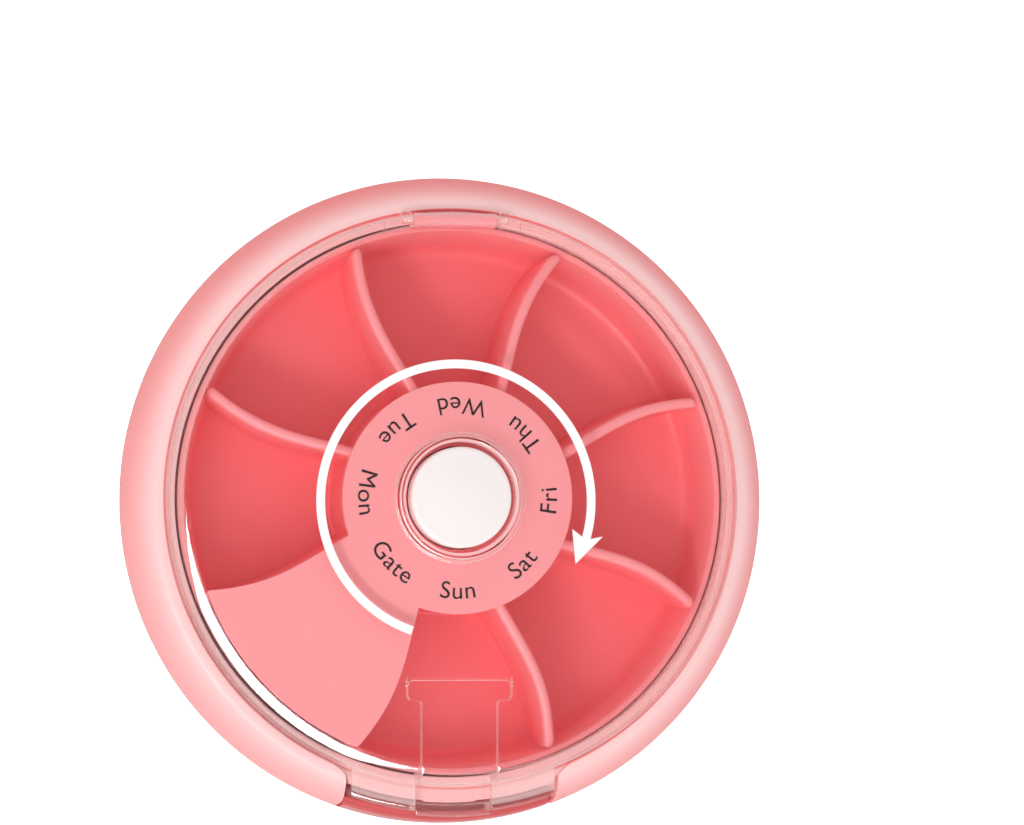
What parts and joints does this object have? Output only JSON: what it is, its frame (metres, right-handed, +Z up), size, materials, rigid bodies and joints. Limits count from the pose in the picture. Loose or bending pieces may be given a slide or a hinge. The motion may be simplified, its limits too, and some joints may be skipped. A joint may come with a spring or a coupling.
{
  "type": "pill organizer",
  "caption": "Round travel pill organizer: a push button turns a compartment wheel under a clear hinged lid with a small dispensing door.",
  "frame": {"origin": "middle of the flat underside, straight below the button", "axes": "+Z up along the wheel's axis; the dispensing door faces -Y and the lid is hinged at +Y"},
  "size_m": [0.09, 0.09, 0.0285],
  "materials": {
    "coral_plastic": "satin coral pink moulded plastic",
    "blush_plastic": "glossy pale pink moulded plastic",
    "rose_plastic": "satin light rose plastic with printed day names",
    "clear_plastic": "clear polished plastic",
    "white_plastic": "glossy white plastic",
    "natural_plastic": "natural uncoloured acetal",
    "steel": "bright spring steel and plated screws"
  },
  "bodies": {
    "case": {"base_shell": "coral_plastic", "rim_ring": "blush_plastic", "spindle": "natural_plastic", "spindle_screw_1": "steel", "spindle_screw_2": "steel", "spindle_screw_3": "steel", "tray_retainer": "steel", "detent_spring": "steel", "detent_screw": "steel", "hinge_pin": "blush_plastic"},
    "wheel": {"tray": "coral_plastic", "day_plate": "rose_plastic", "ratchet_ring": "natural_plastic"},
    "driver": {"driver_ring": "natural_plastic", "pawl_spring": "steel"},
    "button": {"button_cap": "white_plastic", "plunger": "natural_plastic", "return_spring": "steel"},
    "lid": {"lid": "clear_plastic"},
    "door": {"dispensing_door": "clear_plastic"}
  },
  "joints": [
    {"name": "button_press", "type": "slide", "parent": "case", "child": "button", "axis": [0, 0, -1], "range_m": [0, 0.003], "stiffness_N_per_m": 400, "springref_m": -0.001, "deforming": ["return_spring"]},
    {"name": "driver_turn", "type": "hinge", "parent": "case", "child": "driver", "pos_m": [0, 0, 0.0156], "axis": [0, 0, -1], "range_deg": [0, 45.5]},
    {"name": "tray_turn", "type": "hinge", "parent": "case", "child": "wheel", "pos_m": [0, 0, 0.01], "axis": [0, 0, -1], "continuous": true},
    {"name": "lid_hinge", "type": "hinge", "parent": "case", "child": "lid", "pos_m": [0, 0.0383, 0.0218], "axis": [-1, 0, 0], "range_deg": [0, 100]},
    {"name": "door_hinge", "type": "hinge", "parent": "lid", "child": "door", "pos_m": [0, -0.0254, 0.02545], "axis": [-1, 0, 0], "range_deg": [0, 100]}
  ],
  "couplings": [
    {"joint": "driver_turn", "follows": "button_press", "rad_per_m": 261.8}
  ]
}
